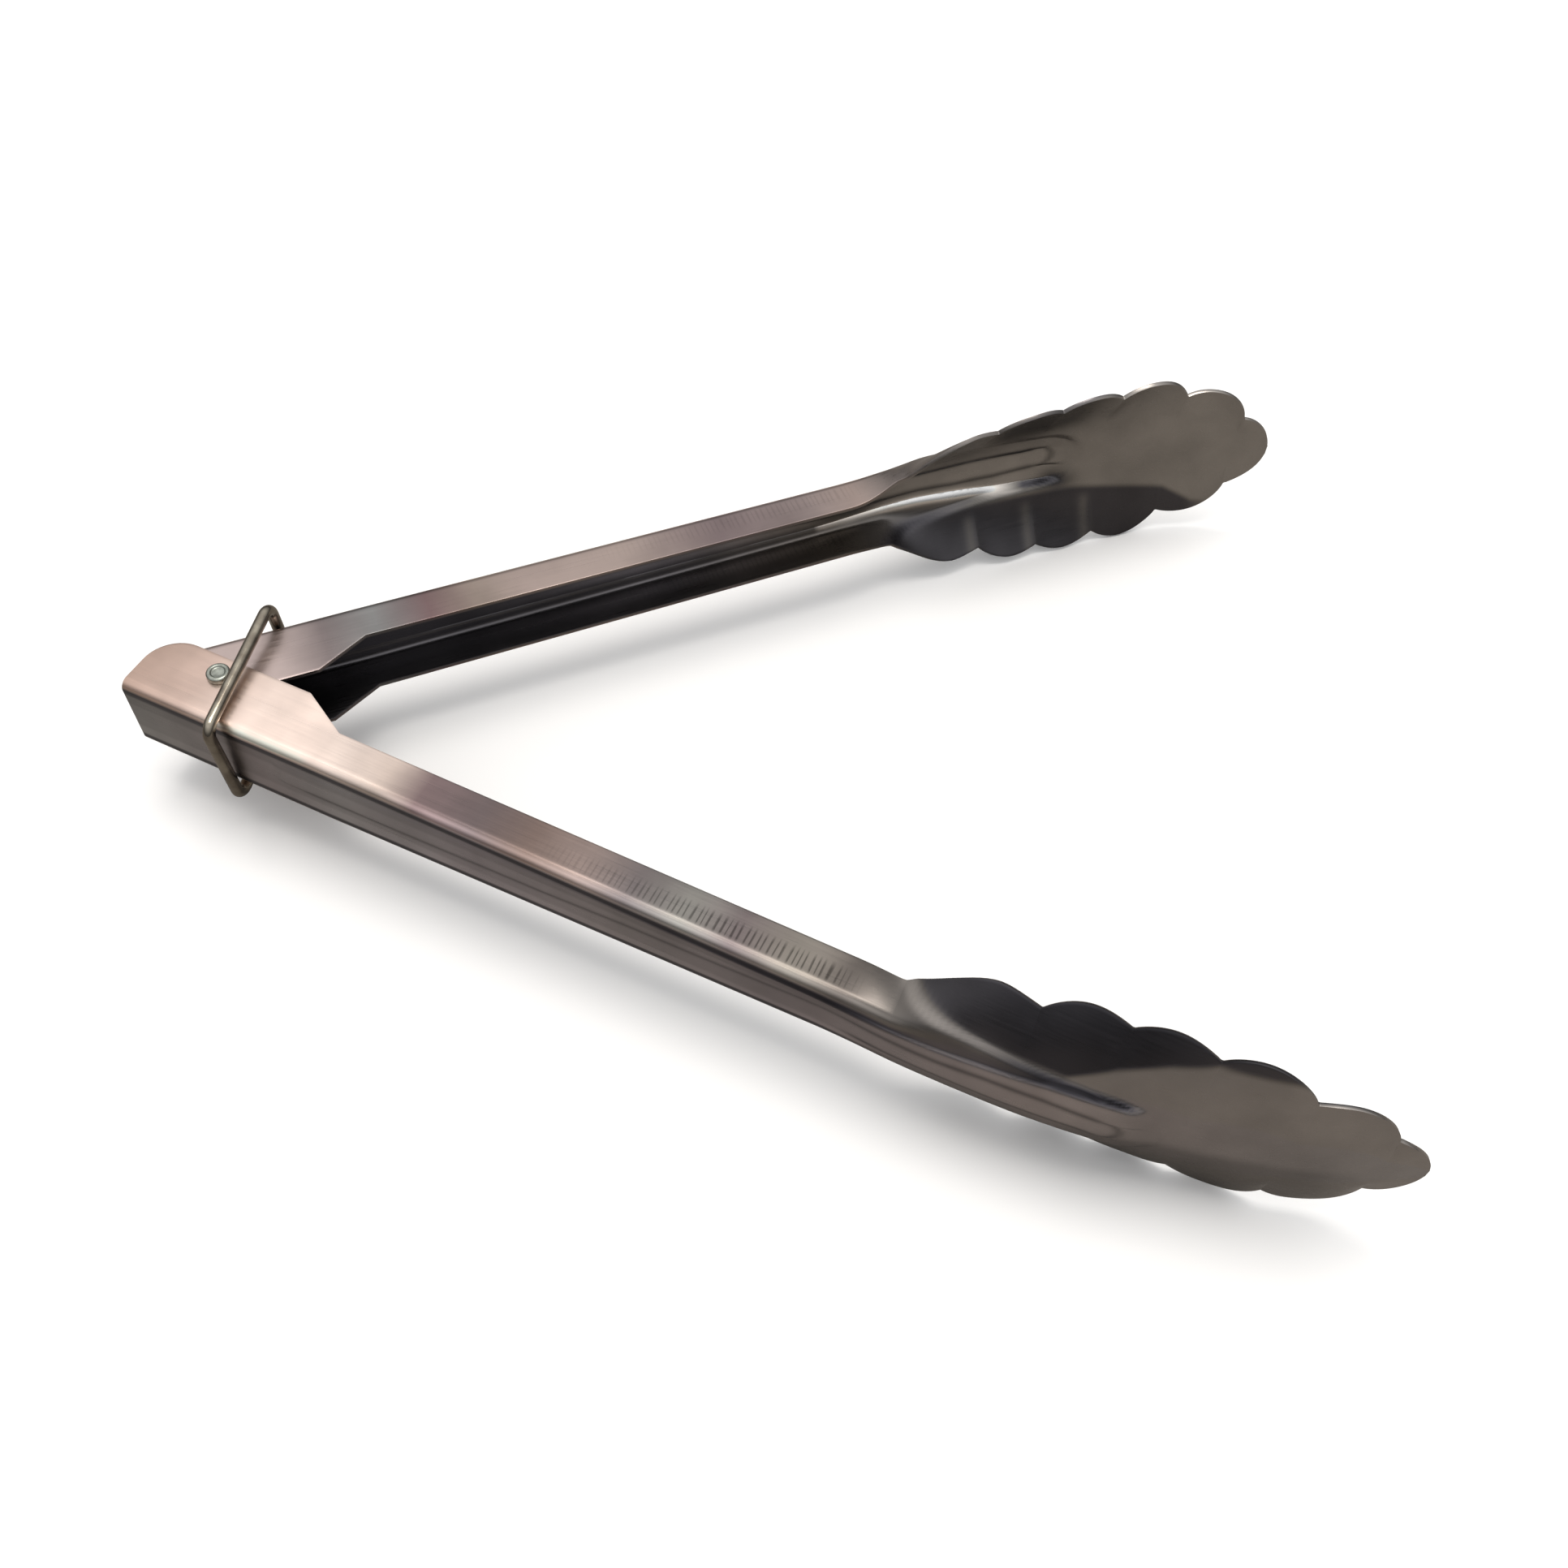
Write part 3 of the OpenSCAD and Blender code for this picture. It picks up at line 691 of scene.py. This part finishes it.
# drawn spring wire: dark grey and half glossy, with patches of old oil under 2 mm across
spring_steel, tree = new_material("drawn_spring_wire")
coords = add_node(tree, "ShaderNodeTexCoord")
oil = add_node(
    tree, "ShaderNodeTexNoise", {"Scale": 600.0, "Detail": 2.0}, {"Vector": coords.outputs["Object"]}
)
tone = add_node(
    tree, "ShaderNodeValToRGB", {"stops": [(0.3, "#3c3938"), (0.7, "#5d5a57")]},
    {"Fac": oil.outputs["Fac"]},
)
steel = add_node(
    tree, "ShaderNodeBsdfPrincipled", {"Metallic": 1.0, "Roughness": 0.35},
    {"Base Color": tone.outputs[0]},
)
add_node(tree, "ShaderNodeOutputMaterial", {}, {"Surface": steel.outputs[0]})
spring.data.materials.append(spring_steel)
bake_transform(spring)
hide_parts("torsion_spring")

# ---------------------------------------------------------------- lock ring
# A loop of 2.3 mm wire round both arms: bent to a rectangle with round corners
# and closed without a visible joint. It lies askew, its far end up.
ring_wire, ring_corner, ring_h, ring_l, ring_out = 2.3, 2.6, 21.94, 29.44, 11.584
ring_seat, ring_lean, ring_roll = 6.8, math.radians(13.5), math.radians(4)
bpy.ops.mesh.primitive_plane_add(size=1, location=(0, 0, 0))
ring = bpy.context.object
ring.name = ring.data.name = "lock_ring_wire"
ring.data.transform(Matrix.Diagonal((ring_l * mm, ring_h * mm, 1, 1)))
bpy.ops.object.mode_set(mode="EDIT")
bpy.ops.mesh.select_all(action="SELECT")
bpy.ops.mesh.bevel(
    affect="VERTICES", offset=ring_corner * mm, offset_type="OFFSET", segments=12, profile=0.5
)
bpy.ops.mesh.select_all(action="SELECT")
bpy.ops.mesh.delete(type="ONLY_FACE")
bpy.ops.object.mode_set(mode="OBJECT")
bpy.ops.object.convert(target="CURVE")
ring = bpy.context.object
ring.data.bevel_depth = ring_wire / 2 * mm
ring.data.bevel_resolution = 8
bpy.ops.object.convert(target="MESH")
ring = bpy.context.object
askew = (
    Matrix.Rotation(-spread / 2, 4, "Z")
    @ Matrix.Translation((ring_seat * mm, -ring_out * mm, 0))
    @ Matrix.Rotation(ring_lean, 4, "Z")
    @ Matrix.Translation((0, ring_l / 2 * mm, 0))
    @ Matrix.Rotation(ring_roll, 4, "X")
)
# the loop is drawn flat, its long side along X: stand it up, long side along Y
ring.data.transform(askew @ Matrix(((0, 0, 1, 0), (1, 0, 0, 0), (0, 1, 0, 0), (0, 0, 0, 1))))
bpy.ops.object.shade_smooth_by_angle(angle=math.radians(60))
bpy.ops.object.select_all(action="DESELECT")
# bright drawn wire: a sharp, brownish shine, clouded in patches about 3 mm long
ring_steel, tree = new_material("bright_drawn_wire")
coords = add_node(tree, "ShaderNodeTexCoord")
drawn = add_node(
    tree, "ShaderNodeTexNoise", {"Scale": 300.0, "Detail": 3.0}, {"Vector": coords.outputs["Object"]}
)
tone = add_node(
    tree, "ShaderNodeValToRGB", {"stops": [(0.35, "#857c70"), (0.65, "#a9a192")]},
    {"Fac": drawn.outputs["Fac"]},
)
steel = add_node(
    tree, "ShaderNodeBsdfPrincipled", {"Metallic": 1.0, "Roughness": 0.16},
    {"Base Color": tone.outputs[0]},
)
add_node(tree, "ShaderNodeOutputMaterial", {}, {"Surface": steel.outputs[0]})
ring.data.materials.append(ring_steel)
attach(ring, "ring_body")
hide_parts("lock_ring")

# ---------------------------------------------------------------- studio
# A flat sheet of white paper, a hair below the heads' scallops, under a dome
# that brightens upwards and one soft box straight overhead.
low = min(v.co.z for piece in (outer_arm, inner_arm) for v in piece.data.vertices)
bpy.ops.mesh.primitive_plane_add(size=6, location=(0, 0, low - 0.2 * mm))
floor = bpy.context.object
floor.name = "floor"
# matt white paper: soft shadows and no shine, with a faint unevenness 1.5 m across
paper, tree = new_material("white_paper")
fibre = add_node(tree, "ShaderNodeTexNoise", {"Scale": 4.0, "Detail": 2.0})
tone = add_node(
    tree, "ShaderNodeValToRGB", {"stops": [(0.3, "#fbfbfb"), (0.7, "#fefefe")]},
    {"Fac": fibre.outputs["Fac"]},
)
matt = add_node(tree, "ShaderNodeBsdfPrincipled", {"Roughness": 0.9}, {"Base Color": tone.outputs[0]})
# the steel mirrors a darker table than the white paper that is seen
table = add_node(tree, "ShaderNodeBsdfDiffuse", {"Color": linear("#8a8580")})
ray = add_node(tree, "ShaderNodeLightPath")
both = add_node(
    tree, "ShaderNodeMixShader", {},
    {0: ray.outputs["Is Glossy Ray"], 1: matt.outputs[0], 2: table.outputs[0]},
)
add_node(tree, "ShaderNodeOutputMaterial", {}, {"Surface": both.outputs[0]})
floor.data.materials.append(paper)

world = bpy.data.worlds.new("studio")
bpy.context.scene.world = world
world.use_nodes = True
world.node_tree.nodes.clear()
tree = world.node_tree
view = add_node(tree, "ShaderNodeTexCoord")
height = add_node(tree, "ShaderNodeSeparateXYZ", {}, {0: view.outputs["Generated"]})
sky = add_node(
    tree, "ShaderNodeValToRGB",
    {"stops": [(0.0, 0.12), (0.18, 0.16), (0.5, 0.6), (0.8, 1.0), (1.0, 1.0)]},
    {"Fac": height.outputs["Z"]},
)
lit = add_node(tree, "ShaderNodeBackground", {"Strength": 1.0}, {"Color": sky.outputs[0]})
seen = add_node(tree, "ShaderNodeBackground", {"Strength": 1.0, "Color": (1, 1, 1, 1)})
ray = add_node(tree, "ShaderNodeLightPath")
mixed = add_node(
    tree, "ShaderNodeMixShader", {},
    {0: ray.outputs["Is Camera Ray"], 1: lit.outputs[0], 2: seen.outputs[0]},
)
add_node(tree, "ShaderNodeOutputWorld", {}, {"Surface": mixed.outputs[0]})

# in metres and watts
box_place, box_aim, box_side, box_power = Vector((0.1, 0.1, 1.6)), Vector((0.1, 0, 0)), 0.9, 14
bpy.ops.object.light_add(type="AREA", location=box_place)
top_box = bpy.context.object
top_box.name = top_box.data.name = "top_box"
top_box.data.shape, top_box.data.size, top_box.data.size_y = "RECTANGLE", box_side, box_side
top_box.data.energy = box_power
top_box.data.color = linear("#fffaf4")[:3]
top_box.rotation_euler = (box_aim - box_place).to_track_quat("-Z", "Y").to_euler()

# ---------------------------------------------------------------- camera
# Looks down at the tongs from the outer arm's side.
scene = bpy.context.scene
scene.view_settings.view_transform = "Standard"
azimuth, elevation, roll = math.radians(-0.41), math.radians(53.78), math.radians(2.65)
distance = 288.97
back = Vector(
    (math.sin(azimuth) * math.cos(elevation), -math.cos(azimuth) * math.cos(elevation), math.sin(elevation))
)
right = Vector((math.cos(azimuth), math.sin(azimuth), 0))
up = back.cross(right)
cam_x = math.cos(roll) * right + math.sin(roll) * up
cam_y = -math.sin(roll) * right + math.cos(roll) * up
target = Vector((104.98, -13.24, 0)) * mm
bpy.ops.object.camera_add()
camera = bpy.context.object
camera.data.lens, camera.data.sensor_width = 36.0, 36.0
camera.data.clip_start = 0.01
camera.matrix_world = Matrix.Translation(target + back * distance * mm) @ Matrix(
    (
        (cam_x.x, cam_y.x, back.x, 0),
        (cam_x.y, cam_y.y, back.y, 0),
        (cam_x.z, cam_y.z, back.z, 0),
        (0, 0, 0, 1),
    )
)
scene.camera = camera
